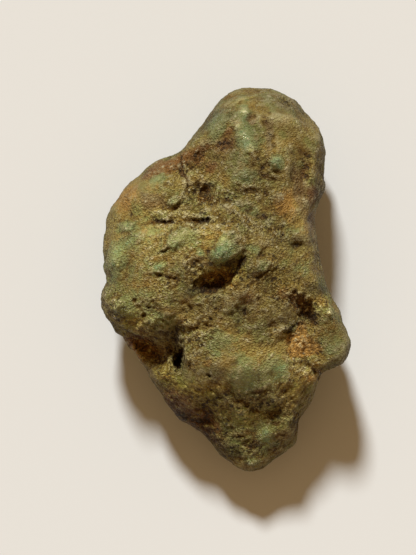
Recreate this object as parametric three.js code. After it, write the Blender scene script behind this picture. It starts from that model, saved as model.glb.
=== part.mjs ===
// A turquoise nugget: one rough, water-worn stone, lying on its broad underside with its best face up.
// Millimetres, +Z up. The origin is the middle of the stone's footprint, on the surface it rests on.
// The stone is one closed skin: the points of a sphere are carried out to an outline seen from above,
// up to a relief of lumps, ledges and pits, and down to an underside worn to a small flat facet.
import * as THREE from "three";
import { mergeVertices } from "three/addons/utils/BufferGeometryUtils.js";
import { ImprovedNoise } from "three/addons/math/ImprovedNoise.js";

// --- Driving dimensions -------------------------------------------------------------------------
const LENGTH = 48.0; // along Y, head to tail
const WIDTH = 31.1; // along X
const SKIN_DETAIL = 19; // divisions of each icosahedron edge: 20 x (detail + 1)^2 triangles
const TOP_SHARE = 0.24; // moves the sphere's points towards the top, where the relief is
const UNDER_ROLL = 3.6; // how much further in the underside's rounding reaches than the top's
const SPOT_REACH = 1.9; // how softly one spot height gives way to the next
const EDGE_FADE = 0.8; // relief fades out over this distance from the outline
const RELIEF_SPREAD = 1.7; // a swelling ends this many half-sizes from its middle
const FAR_WEIGHT = 1e-9; // what a spot height still counts for far away from it
const RIM_STEPS = 1440; // directions round the outline in which its reach is worked out
const WELD = 1e-4; // points of the unit sphere closer than this are one

const COLOUR = 0x7f7448;
const ROUGHNESS = 0.8;

// --- Outline ------------------------------------------------------------------------------------
// Seen from above, clockwise from the top of the head: x, y, the height of the widest line there,
// and how far in from it the top is still rounding over.
const OUTLINE = [
  [1.9, 24.0, 9.0, 4.2], [5.3, 23.8, 9.0, 4.4], [7.6, 23.2, 8.6, 4.2], [8.9, 22.5, 8.2, 3.8],
  [9.9, 21.4, 7.8, 3.6], [11.2, 20.0, 7.6, 3.8], [12.2, 18.3, 7.4, 4.0], [12.6, 16.2, 7.2, 4.0],
  [12.4, 13.9, 7.2, 3.8], [12.4, 11.9, 7.2, 3.2], [11.7, 10.2, 7.4, 2.4], [11.0, 9.1, 7.8, 1.8],
  [10.9, 7.2, 8.6, 1.8], [11.2, 5.1, 9.2, 1.9], [11.7, 2.9, 9.4, 2.0], [12.2, 0.9, 9.4, 2.0],
  [13.1, -1.1, 9.2, 2.2], [14.2, -3.4, 9.0, 2.2], [15.1, -5.6, 8.8, 2.0], [15.6, -7.4, 8.6, 1.8],
  [15.2, -10.0, 8.2, 1.6], [14.2, -10.6, 8.0, 1.5], [12.4, -11.3, 7.8, 1.6], [11.9, -12.0, 7.4, 2.0],
  [11.2, -14.0, 6.6, 2.6], [9.9, -16.6, 5.8, 2.8], [9.2, -17.9, 5.6, 2.6], [9.1, -19.3, 5.4, 2.6],
  [8.2, -20.6, 5.0, 3.0], [6.2, -22.2, 4.6, 3.6], [4.2, -23.6, 4.4, 4.0], [2.9, -24.0, 4.4, 4.0],
  [1.2, -23.1, 4.6, 3.8], [-0.8, -21.7, 4.8, 3.4], [-2.2, -19.7, 5.2, 3.0], [-3.4, -18.5, 5.4, 3.0],
  [-5.6, -17.0, 5.6, 3.2], [-7.6, -15.0, 5.8, 3.0], [-9.2, -12.6, 5.8, 2.4], [-10.4, -10.3, 5.0, 2.8],
  [-11.9, -8.3, 5.0, 3.0], [-13.4, -6.0, 6.4, 2.2], [-14.8, -4.4, 7.8, 2.0], [-15.4, -2.8, 8.4, 2.0],
  [-15.5, -1.4, 8.6, 2.0], [-15.1, 0.0, 8.8, 1.8], [-15.3, 2.4, 8.8, 2.2], [-15.3, 5.4, 8.8, 2.6],
  [-14.8, 7.9, 8.8, 3.2], [-13.9, 10.0, 8.8, 3.6], [-12.6, 11.9, 8.8, 3.6], [-10.9, 13.2, 8.8, 3.4],
  [-8.9, 14.8, 8.8, 3.0], [-7.3, 15.6, 8.8, 2.6], [-5.8, 16.3, 8.8, 2.4], [-4.3, 17.7, 8.8, 2.6],
  [-3.3, 19.1, 9.0, 3.2], [-1.7, 21.1, 9.0, 3.8], [-0.2, 23.0, 9.0, 4.0],
];

// --- Broad form: spot heights, x, y, z ----------------------------------------------------------
const TOP_SPOTS = [
  // head
  [2.0, 22.3, 12.4], [1.2, 20.2, 14.8], [4.0, 19.4, 15.6], [2.4, 17.0, 16.0], [6.2, 17.6, 15.8],
  [9.4, 18.2, 14.2], [11.2, 16.0, 12.4], [7.4, 14.4, 15.4], [-1.8, 17.6, 13.4], [10.6, 12.6, 12.4],
  // neck
  [-5.0, 14.6, 12.4], [-3.2, 11.4, 13.6], [1.8, 10.8, 15.0], [6.8, 10.2, 14.8], [9.4, 9.6, 13.4],
  // left lobe
  [-12.4, 9.4, 11.4], [-9.4, 10.2, 13.2], [-9.4, 7.0, 13.8], [-13.2, 4.0, 12.2], [-9.4, 3.8, 14.6],
  [-5.6, 5.2, 15.8], [-14.2, 2.0, 10.8], [-10.6, -0.4, 14.0], [-13.2, -3.0, 12.0], [-7.0, -1.2, 15.2],
  [-9.4, -4.2, 13.4],
  // middle
  [-2.6, 5.2, 16.6], [0.4, 4.6, 17.4], [3.0, 5.0, 16.8], [6.8, 4.6, 15.6], [9.8, 3.2, 14.0],
  [-3.2, 1.4, 16.0], [3.4, 0.8, 16.2], [1.2, -0.8, 16.4], [-2.0, -2.4, 15.4], [3.0, -2.4, 15.4],
  [-5.6, -3.6, 14.2], [6.2, -1.2, 15.0], [9.4, -0.6, 14.4], [0.6, -5.4, 13.9], [-4.4, -6.8, 13.0],
  // lower left, where the lobe breaks off above a hollow
  [-9.4, -8.0, 8.6], [-7.6, -6.8, 9.8], [-10.8, -6.8, 7.8], [-6.9, -9.6, 9.6],
  // lower shelf
  [-3.2, -8.8, 13.0], [1.8, -9.4, 13.5], [6.2, -8.8, 13.3], [-3.2, -12.4, 12.2], [1.8, -13.0, 12.7],
  [6.8, -12.4, 12.2], [-7.0, -12.2, 10.2], [9.6, -13.2, 10.8],
  // right lobe
  [13.0, -4.2, 13.2], [13.7, -8.0, 12.0], [11.8, -6.2, 12.8], [9.6, -7.8, 12.4], [11.2, -10.4, 11.6],
  // tail
  [-2.0, -15.6, 10.2], [3.0, -16.0, 10.9], [7.4, -15.2, 10.4], [3.0, -18.8, 9.6], [5.6, -19.2, 9.4],
  [8.0, -18.6, 8.4], [0.0, -18.4, 8.6], [2.8, -22.0, 7.2], [5.4, -21.6, 7.4], [-3.8, -16.8, 8.0],
];
const UNDER_SPOTS = [
  // the worn facet it rests on: anything below zero is planed off flat
  [0.0, 0.0, -1.1], [-3.0, 5.0, -0.7], [3.2, -5.0, -0.9], [-4.6, -2.4, -0.6], [3.8, 2.6, -0.7],
  [-1.2, -8.6, -0.3],
  // head and neck
  [2.0, 16.4, 1.7], [6.8, 16.2, 2.2], [9.4, 10.0, 2.3], [-1.6, 12.2, 1.3], [4.0, 9.0, 0.9], [2.2, 21.0, 3.4],
  // left
  [-9.4, 10.0, 2.0], [-13.2, 2.6, 2.5], [-12.0, -3.6, 2.7], [-8.6, 2.0, 1.3], [-7.0, -11.0, 1.9],
  // right
  [13.0, -6.2, 2.9], [9.4, -11.0, 1.9], [9.6, 0.0, 1.7], [9.4, 5.0, 2.6],
  // tail
  [3.0, -18.6, 1.2], [-0.8, -17.4, 1.7], [5.6, -13.0, 0.8], [3.0, -22.4, 2.1],
];

// --- Relief of the top face ---------------------------------------------------------------------
// Each entry swells the surface up, or sinks it where height is below zero, over an ellipse:
// middle, half-sizes (about where it has fallen to half), turn in degrees from X, height.
// A higher edge gives a flatter floor and steeper sides.
const RELIEF = [
  // broad forms
  { at: [-9.5, 2.8], size: [5.5, 3.0], turn: 0, height: 1.0, edge: 2 }, // back of the left lobe
  { at: [-10.5, -3.6], size: [3.6, 2.0], turn: 0, height: 1.0, edge: 3 }, // its brow
  { at: [-6.5, 8.4], size: [6.0, 1.5], turn: 0, height: -0.5, edge: 2 }, // dip along the slots
  { at: [-1.5, 3.4], size: [3.0, 1.5], turn: 10, height: 0.2, edge: 2 },
  { at: [-4.0, 11.2], size: [3.2, 1.8], turn: 0, height: 0.5, edge: 2 }, // left of the neck
  { at: [5.0, 11.6], size: [4.0, 1.8], turn: 0, height: 0.6, edge: 2 }, // right of the neck
  { at: [1.0, -3.6], size: [6.0, 1.2], turn: -5, height: -0.5, edge: 2 }, // dip above the shelf
  { at: [1.5, -7.6], size: [5.5, 1.6], turn: 5, height: 0.45, edge: 2 }, // rise onto the shelf
  { at: [5.5, -6.6], size: [2.2, 1.2], turn: 0, height: 0.5, edge: 2 },
  { at: [4.5, -11.3], size: [7.0, 1.9], turn: 3, height: 0.85, edge: 2 }, // shelf's far edge
  { at: [6.0, -15.2], size: [3.5, 1.0], turn: -8, height: 0.4, edge: 2 },
  { at: [-5.5, -16.2], size: [3.0, 2.0], turn: -50, height: -0.6, edge: 2 },
  { at: [2.0, -20.0], size: [5.0, 4.0], turn: 0, height: -0.9, edge: 2 }, // fall of the tail
  // head
  { at: [4.4, 19.0], size: [4.6, 4.2], turn: 0, height: 0.7, edge: 2 }, // crown
  { at: [2.4, 17.0], size: [0.9, 2.6], turn: 20, height: 0.6, edge: 2 }, // spine down the brow
  { at: [0.1, 17.2], size: [1.4, 1.3], turn: 0, height: -0.8, edge: 2 }, // rust hollow
  { at: [5.9, 14.4], size: [1.0, 0.8], turn: 0, height: 1.0, edge: 2 }, // right knob
  { at: [5.3, 13.4], size: [1.2, 0.5], turn: -8, height: -0.8, edge: 2 }, // undercut below it
  { at: [3.7, 14.8], size: [0.6, 0.7], turn: 0, height: -0.6, edge: 2 },
  { at: [2.4, 12.9], size: [1.3, 0.9], turn: 10, height: 0.8, edge: 2 }, // left knob
  { at: [9.9, 14.6], size: [0.9, 1.1], turn: 20, height: -0.9, edge: 2 }, // groove behind the cheek
  { at: [8.9, 12.0], size: [0.7, 1.6], turn: -12, height: -0.7, edge: 2 },
  { at: [11.0, 13.2], size: [0.9, 2.6], turn: -4, height: 0.8, edge: 2 }, // right cheek
  { at: [8.6, 19.6], size: [1.6, 1.2], turn: -40, height: 0.4, edge: 2 },
  { at: [7.5, 21.8], size: [0.8, 0.5], turn: 0, height: -0.5, edge: 2 },
  { at: [2.0, 20.8], size: [0.9, 0.8], turn: 0, height: 0.45, edge: 2 },
  { at: [4.2, 19.8], size: [0.7, 0.9], turn: 20, height: -0.5, edge: 2 },
  { at: [6.4, 20.6], size: [1.4, 0.9], turn: -25, height: 0.4, edge: 2 },
  { at: [1.4, 22.4], size: [2.4, 0.6], turn: 16, height: 0.5, edge: 2 }, // ridge along the brow's top
  // neck
  { at: [-3.8, 15.0], size: [1.2, 1.2], turn: 30, height: -0.9, edge: 2 }, // notch
  { at: [-3.0, 11.0], size: [1.7, 1.2], turn: 0, height: -1.2, edge: 2 }, // hollow
  { at: [-6.3, 9.8], size: [0.7, 0.7], turn: 0, height: 0.9, edge: 2 }, // pebble
  { at: [-6.9, 9.0], size: [1.0, 0.5], turn: -20, height: -0.7, edge: 2 }, // crease below it
  { at: [7.4, 9.4], size: [2.0, 1.5], turn: 30, height: 0.6, edge: 2 },
  { at: [1.4, 9.4], size: [2.6, 1.0], turn: -12, height: 0.4, edge: 2 },
  { at: [4.4, 7.2], size: [2.4, 0.6], turn: -14, height: -0.4, edge: 2 },
  // left lobe
  { at: [-9.2, 11.2], size: [3.0, 1.8], turn: 30, height: 0.6, edge: 2 },
  { at: [-4.9, 8.3], size: [3.8, 0.6], turn: 3, height: 0.5, edge: 2 }, // ridge above the slots
  { at: [-7.8, 7.4], size: [1.5, 0.45], turn: -2, height: -0.9, edge: 2 }, // left slot
  { at: [-3.2, 7.6], size: [1.3, 0.5], turn: -8, height: -1.1, edge: 2 }, // right slot
  { at: [-5.4, 6.2], size: [4.0, 0.8], turn: 3, height: 0.4, edge: 2 }, // ridge below the slots
  { at: [-6.4, 4.8], size: [1.7, 0.7], turn: 34, height: 0.5, edge: 2 }, // green streak
  { at: [-7.2, 3.2], size: [1.7, 0.5], turn: 30, height: -0.4, edge: 2 },
  { at: [-12.3, 6.6], size: [1.0, 0.9], turn: 0, height: 0.5, edge: 2 },
  { at: [-14.0, 2.4], size: [1.1, 1.8], turn: 0, height: 0.6, edge: 2 }, // green swelling
  { at: [-13.7, -3.2], size: [1.4, 1.5], turn: 0, height: 0.9, edge: 2 }, // lower green swelling
  { at: [-9.4, -5.2], size: [2.8, 0.8], turn: 14, height: 0.8, edge: 2 }, // brow over the hollow
  { at: [-10.6, -2.2], size: [1.6, 1.2], turn: 20, height: -0.4, edge: 2 },
  { at: [-6.8, 0.2], size: [1.2, 0.6], turn: -14, height: -0.6, edge: 2 },
  { at: [-3.8, 2.2], size: [0.7, 0.8], turn: 0, height: -0.7, edge: 2 },
  // nose, and the hollow under it
  { at: [0.0, 4.0], size: [2.1, 1.1], turn: 53, height: 1.5, edge: 2 },
  { at: [-1.7, -0.4], size: [2.2, 0.9], turn: 14, height: -2.0, edge: 2 },
  { at: [1.6, 2.3], size: [1.4, 0.5], turn: 42, height: -0.8, edge: 2 },
  { at: [1.4, -0.6], size: [1.6, 0.6], turn: 48, height: 0.6, edge: 2 }, // lower lip
  { at: [3.9, 1.6], size: [1.0, 1.4], turn: 20, height: 0.4, edge: 2 },
  { at: [4.6, 3.4], size: [0.6, 0.6], turn: 0, height: -0.5, edge: 2 },
  // lower left
  { at: [-9.5, -8.4], size: [2.9, 1.8], turn: -32, height: -2.1, edge: 2 },
  { at: [-6.0, -9.8], size: [0.5, 1.1], turn: 0, height: -2.4, edge: 3 }, // deep hole
  { at: [-6.4, -7.6], size: [0.5, 1.4], turn: -6, height: -1.3, edge: 2 }, // crack above it
  { at: [-7.6, -11.0], size: [1.5, 0.8], turn: 24, height: 1.0, edge: 2 }, // shelf's corner
  // lower shelf
  { at: [2.4, -10.2], size: [5.2, 2.8], turn: 0, height: 0.6, edge: 2 },
  { at: [4.8, -15.7], size: [2.8, 0.6], turn: -14, height: -0.8, edge: 2 }, // step under the shelf
  { at: [-2.4, -17.2], size: [1.2, 0.8], turn: -20, height: -0.9, edge: 2 },
  // right lobe
  { at: [9.6, -2.9], size: [0.8, 1.0], turn: 20, height: -1.5, edge: 2 }, // pit
  { at: [10.6, -4.7], size: [0.5, 1.1], turn: 30, height: -0.9, edge: 2 },
  { at: [9.0, -1.2], size: [0.9, 0.6], turn: 0, height: 0.5, edge: 2 },
  { at: [12.6, -3.8], size: [1.5, 1.6], turn: 10, height: 0.6, edge: 2 },
  { at: [9.5, -7.8], size: [1.6, 1.8], turn: 0, height: -0.7, edge: 2 }, // ochre hollow
  { at: [14.0, -9.0], size: [1.2, 1.2], turn: 0, height: 0.5, edge: 2 },
  { at: [10.8, -10.9], size: [1.7, 0.5], turn: -24, height: -1.0, edge: 2 }, // crack from the notch
  { at: [10.4, -12.4], size: [1.0, 0.7], turn: 0, height: 0.5, edge: 2 },
  { at: [8.8, 4.4], size: [0.8, 0.6], turn: 0, height: -0.7, edge: 2 },
  { at: [8.9, 1.4], size: [1.4, 1.2], turn: 0, height: 0.5, edge: 2 },
  // tail
  { at: [8.4, -17.6], size: [0.9, 0.9], turn: 0, height: 0.6, edge: 2 }, // side knob
  { at: [5.3, -19.4], size: [1.4, 1.1], turn: 0, height: 0.7, edge: 2 },
  { at: [3.2, -22.4], size: [1.3, 0.9], turn: 0, height: 0.5, edge: 2 },
];

// --- Flanks and underside -----------------------------------------------------------------------
// Rounded swellings and hollows: middle, radius, height along the surface's own normal.
const FLANK_LUMPS = [
  { at: [-13.6, 9.0, 4.0], size: 4.0, height: -0.7 },
  { at: [-15.0, 0.0, 4.2], size: 3.2, height: -0.8 },
  { at: [-9.6, -9.6, 3.0], size: 3.6, height: -0.6 },
  { at: [11.6, 8.2, 4.0], size: 3.6, height: -0.9 },
  { at: [12.2, 15.0, 3.6], size: 3.6, height: 0.6 },
  { at: [13.6, -6.0, 3.6], size: 3.4, height: 0.5 },
  { at: [6.0, -20.0, 2.6], size: 3.6, height: 0.5 },
  { at: [0.0, 21.0, 4.4], size: 3.6, height: -0.7 },
  { at: [-5.4, 3.4, 0.2], size: 2.6, height: -1.0 },
  { at: [5.4, -10.4, 0.6], size: 3.0, height: -0.9 },
  { at: [7.2, 6.4, 1.2], size: 3.0, height: -0.9 },
  { at: [-8.0, -5.4, 1.2], size: 3.0, height: 0.5 },
  { at: [-3.0, 13.4, 1.6], size: 2.6, height: 0.5 },
  { at: [2.0, -16.0, 1.0], size: 2.4, height: -0.7 },
];
// Wear: two scales of rounded mounds with creases between them, as width and height.
const WEAR = [
  { across: 6.5, height: 0.7 },
  { across: 3.1, height: 0.45 },
];
const WEAR_ON_TOP = 0.6; // share of it left on the top, which has its own relief
const WEAR_AT_WIDEST = 0.45; // and at the widest line, which the outline already shapes
const WIDEST_BAND = [0.05, 0.45]; // where on the unit sphere the second gives way to the first
const MEAN_MOUND = 0.25; // the mounds' mean height, before it is scaled

// --- Functions ----------------------------------------------------------------------------------
const smooth = THREE.MathUtils.smoothstep;

// One turn of the outline as evenly split angles, each with its reach from the middle, height
// and roll. Seen from the middle, the outline never doubles back.
function rimTable() {
  const path = new THREE.CatmullRomCurve3(
    OUTLINE.map(([x, y, z]) => new THREE.Vector3(x, y, z)), true, "centripetal",
  );
  const points = Array.from({ length: RIM_STEPS * 4 }, (_, i) => {
    const share = i / (RIM_STEPS * 4);
    const place = share * OUTLINE.length;
    const before = Math.floor(place);
    const [, , , roll] = OUTLINE[before];
    const [, , , next] = OUTLINE[(before + 1) % OUTLINE.length];
    const { x, y, z } = path.getPoint(share);
    return {
      angle: Math.atan2(y, x), reach: Math.hypot(x, y), height: z,
      roll: THREE.MathUtils.lerp(roll, next, place - before),
    };
  }).sort((a, b) => a.angle - b.angle);
  const table = [];
  let nearest = 0;
  for (let i = 0; i <= RIM_STEPS; i++) {
    const angle = -Math.PI + (2 * Math.PI * i) / RIM_STEPS;
    while (nearest < points.length - 1 && points[nearest].angle < angle) nearest++;
    table.push(points[nearest]);
  }
  return table;
}

function rimAt(table, angle) {
  const place = ((angle + Math.PI) / (2 * Math.PI)) * (table.length - 1);
  const i = Math.min(table.length - 2, Math.floor(place));
  const mixed = {};
  for (const key of ["reach", "height", "roll"]) {
    mixed[key] = THREE.MathUtils.lerp(table[i][key], table[i + 1][key], place - i);
  }
  return mixed;
}

function spotHeight(spots, x, y) {
  let total = 0;
  let weights = 0;
  for (const [sx, sy, sz] of spots) {
    const weight = Math.exp(-((x - sx) ** 2 + (y - sy) ** 2) / (2 * SPOT_REACH ** 2)) + FAR_WEIGHT;
    total += weight * sz;
    weights += weight;
  }
  return total / weights;
}

function reliefAt(x, y) {
  let sum = 0;
  for (const { at, size, turn, height, edge } of RELIEF) {
    const angle = THREE.MathUtils.degToRad(turn);
    const dx = x - at[0];
    const dy = y - at[1];
    const along = (dx * Math.cos(angle) + dy * Math.sin(angle)) / size[0];
    const across = (dy * Math.cos(angle) - dx * Math.sin(angle)) / size[1];
    const apart = Math.hypot(along, across) / RELIEF_SPREAD;
    if (apart < 1) sum += height * (1 - apart ** edge) ** 2;
  }
  return sum;
}

// A quarter ellipse: 0 at the widest line, 1 once the rounding has ended.
function shoulder(inset, roll) {
  const left = Math.max(0, 1 - inset / roll);
  return Math.sqrt(1 - left ** 2);
}

// Where a direction of the sphere lands on the stone: its compass angle picks the place on the
// outline, and its tilt from the horizon how far in from the outline the point lies.
function skinPoint(direction, table) {
  const angle = Math.atan2(direction.y, direction.x);
  const rim = rimAt(table, angle);
  const reach = rim.reach * Math.min(1, Math.hypot(direction.x, direction.y));
  const x = reach * Math.cos(angle);
  const y = reach * Math.sin(angle);
  const inset = rim.reach - reach;
  if (direction.z >= 0) {
    const crest = spotHeight(TOP_SPOTS, x, y) + reliefAt(x, y) * smooth(inset, 0, EDGE_FADE);
    return new THREE.Vector3(x, y, rim.height + (crest - rim.height) * shoulder(inset, rim.roll));
  }
  const under = spotHeight(UNDER_SPOTS, x, y);
  const rise = (rim.height - under) * shoulder(inset, rim.roll + UNDER_ROLL);
  return new THREE.Vector3(x, y, rim.height - rise);
}

function lumpAt(point) {
  let sum = 0;
  for (const { at, size, height } of FLANK_LUMPS) {
    const apart = point.distanceTo(new THREE.Vector3(...at)) / size;
    if (apart < 1) sum += height * (1 - apart ** 2) ** 2;
  }
  return sum;
}

// --- The skin -----------------------------------------------------------------------------------
function buildSkin() {
  const sphere = new THREE.IcosahedronGeometry(1, SKIN_DETAIL);
  sphere.deleteAttribute("normal");
  sphere.deleteAttribute("uv");
  const skin = mergeVertices(sphere, WELD);
  const place = skin.getAttribute("position");
  const table = rimTable();
  const wearShare = [];
  for (let i = 0; i < place.count; i++) {
    const direction = new THREE.Vector3().fromBufferAttribute(place, i);
    direction.z += TOP_SHARE;
    direction.normalize();
    const fullWear = direction.z > 0 ? WEAR_ON_TOP : 1;
    const clear = smooth(Math.abs(direction.z), ...WIDEST_BAND);
    wearShare.push(THREE.MathUtils.lerp(WEAR_AT_WIDEST, fullWear, clear));
    place.setXYZ(i, ...skinPoint(direction, table));
  }
  skin.computeVertexNormals();
  const normals = skin.getAttribute("normal");
  const noise = new ImprovedNoise();
  for (let i = 0; i < place.count; i++) {
    const point = new THREE.Vector3().fromBufferAttribute(place, i);
    const normal = new THREE.Vector3().fromBufferAttribute(normals, i);
    let push = lumpAt(point);
    for (const { across, height } of WEAR) {
      const mound = Math.abs(noise.noise(point.x / across, point.y / across, point.z / across));
      push += wearShare[i] * height * 2 * (mound - MEAN_MOUND);
    }
    point.addScaledVector(normal, push);
    place.setXYZ(i, point.x, point.y, Math.max(0, point.z));
  }
  return skin;
}

// Brings the skin to its stated length and width, centred over the origin.
function fitted(skin) {
  skin.computeBoundingBox();
  const { min, max } = skin.boundingBox;
  skin.translate(-(min.x + max.x) / 2, -(min.y + max.y) / 2, -min.z);
  skin.scale(WIDTH / (max.x - min.x), LENGTH / (max.y - min.y), 1);
  skin.computeVertexNormals();
  return skin;
}

const nugget = new THREE.Mesh(
  fitted(buildSkin()),
  new THREE.MeshStandardMaterial({ color: COLOUR, roughness: ROUGHNESS, metalness: 0, flatShading: true }),
);
nugget.name = "nugget";

const stone = new THREE.Group();
stone.add(nugget);

export default stone;
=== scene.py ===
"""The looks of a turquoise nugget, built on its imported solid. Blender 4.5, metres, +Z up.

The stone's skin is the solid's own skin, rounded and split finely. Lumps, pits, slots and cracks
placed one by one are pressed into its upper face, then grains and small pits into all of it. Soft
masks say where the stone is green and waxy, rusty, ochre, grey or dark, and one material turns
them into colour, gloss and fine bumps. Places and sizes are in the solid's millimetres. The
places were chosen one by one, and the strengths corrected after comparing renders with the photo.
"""

# Part of the colour is painted light: painted highlights on some glinting tips, painted shade in pits,
# gaps and hollows and on the steep flanks and the underside, and a painted warm shade there and on the
# tail.
import math

import bmesh
import bpy
import numpy as np
from mathutils import Matrix, Vector, noise
from mathutils.bvhtree import BVHTree
from mathutils.kdtree import KDTree


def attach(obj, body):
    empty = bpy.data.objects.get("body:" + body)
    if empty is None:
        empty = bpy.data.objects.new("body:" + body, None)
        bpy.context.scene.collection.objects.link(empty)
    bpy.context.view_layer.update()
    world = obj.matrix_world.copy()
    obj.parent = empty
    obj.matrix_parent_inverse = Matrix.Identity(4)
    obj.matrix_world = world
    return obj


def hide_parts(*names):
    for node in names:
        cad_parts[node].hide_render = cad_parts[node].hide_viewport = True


MM = 0.001

# --- Skin ---------------------------------------------------------------------------------------
WELD = 0.01  # mm: corners of the solid's faces closer than this are one point
SUBDIVISIONS = 2
CORNER_ROUNDS = 2  # how often the corners that rounding draws in are pushed out again
EVEN_ROUNDS = 36  # how often the height of the upper face is mixed with its neighbours'
REST_HEIGHT = 0.5  # mm: grain fades out this close to what the stone rests on
REST_REACH = 3.0  # mm: only the underside lower than this counts as resting
SPOT_REACH = 1.7  # a placed spot ends this many half-sizes from its middle
RELIEF_FACING = (0.0, 0.3)  # relief fades in between these upward parts of the normal
STAIN_FACING = (-0.25, 0.3)  # and the placed stains between these
RELIEF_SHARE = 0.75  # how much of the placed heights is used
RELIEF_NOISE = (0.8, 0.55, 91.0)  # breaks them up: share, mm across, seed
RAGGED = [(0.55, 2.2, 71.0), (0.22, 0.8, 73.0)]  # places shift by: mm, mm across, seed
HOLLOW_ROUNDS = (10, 120)  # mixing that gives the surroundings near by and further off
CREST_RANGE = (0.0, 0.07)  # mm above the surroundings near by where a crest starts and is full
GAP_RANGE = (0.005, 0.075)  # mm below them for a gap
HOLLOW_RANGE = (0.05, 0.55)  # mm below those further off for a hollow

# --- Lumps and pits strewn over the stone -------------------------------------------------------
LUMPS = 1300
LUMP_SEED = 5
LUMP_STRETCH = 1.5  # along the grain
LUMP_SMALLEST = 0.4  # mm: radius
LUMP_SPREAD = 1.0  # mm: how much larger the largest one's radius is
LUMP_BIAS = 2.2  # higher makes more of them small
RAISED_SHARE = 0.72  # the rest are pits
RAISED_HEIGHT = (0.09, 0.23)  # as shares of the radius
PIT_SIZE = 0.75  # a pit's radius against a lump's
PIT_DEPTH = (0.12, 0.32)  # as shares of the radius
STEEP_LUMPS = 0.4  # how much of a lump's height is left on a steep flank
TOP_SMOOTHS = 0.4  # how much lower lumps are on the upper face, which has its own relief
ROUGH_LUMPS = (0.3, 0.75)  # a lump's share of its height: where not rough, and more by roughness
LUMPS_RANGE = (0.4, 1.2)  # that share stays between these

# --- Grain --------------------------------------------------------------------------------------
GRAIN_TURN = 20.0  # degrees from +X: the grain of the upper face runs this way
GRAIN_STRETCH = 1.8
# Each is: mm across, noise seed, height or shift in mm.
WARP = (0.8, 3.0, 0.3)
MOUNDS = (2.4, 5.0, 0.10)
COARSE_GRAINS = (0.95, 7.0, 0.10)
FINE_GRAINS = (0.48, 9.0, 0.13)
SPECKS = (0.42, 13.0, 0.07)
SMALL_PITS = (1.9, 17.0, 0.15)
PITTED_PATCHES = (4.0, 19.0)  # mm across, seed: small pits keep to these
PITTED_RANGE = (-0.1, 0.3)  # noise where such a patch starts and is full
PIT_RIM = (0.28, 0.08)  # shares of a cell from a pit's middle where it starts and is full
SEED_WAYS = (1.0, 2.3, -1.7)  # a seed moves the noise along x, y and z by these
CELL_LEVEL = 0.45  # distance from a grain's middle, in cells, that lies level

# --- Shares of the masks ------------------------------------------------------------------------
STAIN_MOST = 1.5
TONE_SHARE = 0.6  # how much of the placed tones is used
ROUGH_MEAN = 0.9
ROUGH_NOISE = (0.5, 2.6, 83.0)  # share, mm across, seed
ROUGH_RANGE = (0.25, 1.8)
ROUGH_PALES = 0.22  # how much paler rough skin is
# The painted warm shade on all the flanks and the underside:
FLANK_PAINTED_WARM_SHADE = 0.6
FLANK_PAINTED_SHADE = 0.25  # painted shade: how much darker the steep flanks are coloured than the top
FLANK_LEVELS = [(0.85, 0.25), (0.3, 0.0)]  # the normal's upward part as the painted shade darkens them, twice
WAX_NOISE = (0.3, 3.0, 61.0)  # share, mm across, seed
WAX_RANGE = (0.35, 1.0)  # green between these turns waxy
RUST_UNWAXES = 0.8  # how much rust takes from the wax
WAX_SMOOTHS = 0.6  # how much lower lumps and grains are where the stone is waxy
WAX_COOLS = 0.5  # how much less of the painted warm shade lies there

# --- Camera, light and floor --------------------------------------------------------------------
PHOTO_WIDTH = 416
PHOTO_HEIGHT = 555
PIXELS_PER_MM = 8.0
STONE_MIDDLE_PIXEL = (225.6, 280.9)  # where the frame's origin falls in the picture
WIDEST_HEIGHT = 8.0  # mm: the height of the stone's widest line
CAMERA_DISTANCE = 450.0  # mm above that line
SENSOR_HEIGHT = 24.0
KEY_FROM = (-0.16, 0.80, 0.66)  # direction towards the main light
KEY_STRENGTH = 3.8
KEY_ANGLE = 9.0  # degrees across: how soft its shadows are
FILL_STRENGTH = 0.28
FILL_COLOUR = (1.0, 0.62, 0.30)
FLOOR_SIZE = 3.0  # metres
FLOOR_COLOUR = (0.78, 0.81, 0.80)
FLOOR_ROUGHNESS = 0.9

# --- Relief of the upper face -------------------------------------------------------------------
# x, y, half-length, half-width, turn in degrees from +X, height, edge. Heights below zero sink.
# A higher edge gives a flatter top or floor and steeper sides.
HEAD_RELIEF = [
    (1.6, 22.3, 3.4, 0.25, 15, 0.16, 2),
    (2.1, 20.9, 0.6, 0.5, 0, 0.36, 2),
    (1.5, 19.2, 0.6, 0.6, 0, 0.32, 2),
    (2.3, 18.0, 0.6, 0.7, 0, 0.36, 2),
    (3.0, 16.0, 0.6, 0.7, 0, 0.36, 2),
    (5.9, 17.0, 0.3, 0.8, -5, -0.35, 2),
    (1.7, 15.4, 0.4, 0.4, 0, 0.18, 2),
    (4.2, 19.8, 0.7, 0.9, 20, 0.20, 2),
    (3.9, 20.2, 0.2, 0.2, 0, -0.30, 2),
    (4.7, 19.3, 0.2, 0.3, 20, -0.30, 2),
    (5.4, 20.6, 0.2, 0.2, 0, -0.30, 2),
    (7.4, 22.0, 0.9, 0.35, -15, -0.28, 2),
    (10.0, 20.6, 0.3, 1.0, 35, -0.28, 2),
    (-0.3, 17.0, 1.3, 1.0, 0, 0.30, 2),
    (9.9, 14.6, 0.8, 0.9, 20, 0.30, 2),
    (9.3, 13.2, 0.35, 1.0, 0, -0.20, 2),
    (8.9, 12.0, 0.7, 1.6, -12, 0.25, 2),
    (6.1, 14.4, 0.7, 0.6, 0, 0.35, 2),
    (5.3, 13.4, 1.2, 0.5, -8, 0.45, 2),
    (6.3, 13.5, 0.7, 0.3, 0, -0.35, 2),
    (3.7, 14.8, 0.7, 0.7, 0, 0.35, 2),
    (2.7, 11.7, 1.4, 0.5, 0, 0.30, 2),
    (5.2, 11.1, 0.9, 0.6, 0, -0.28, 2),
]
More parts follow.
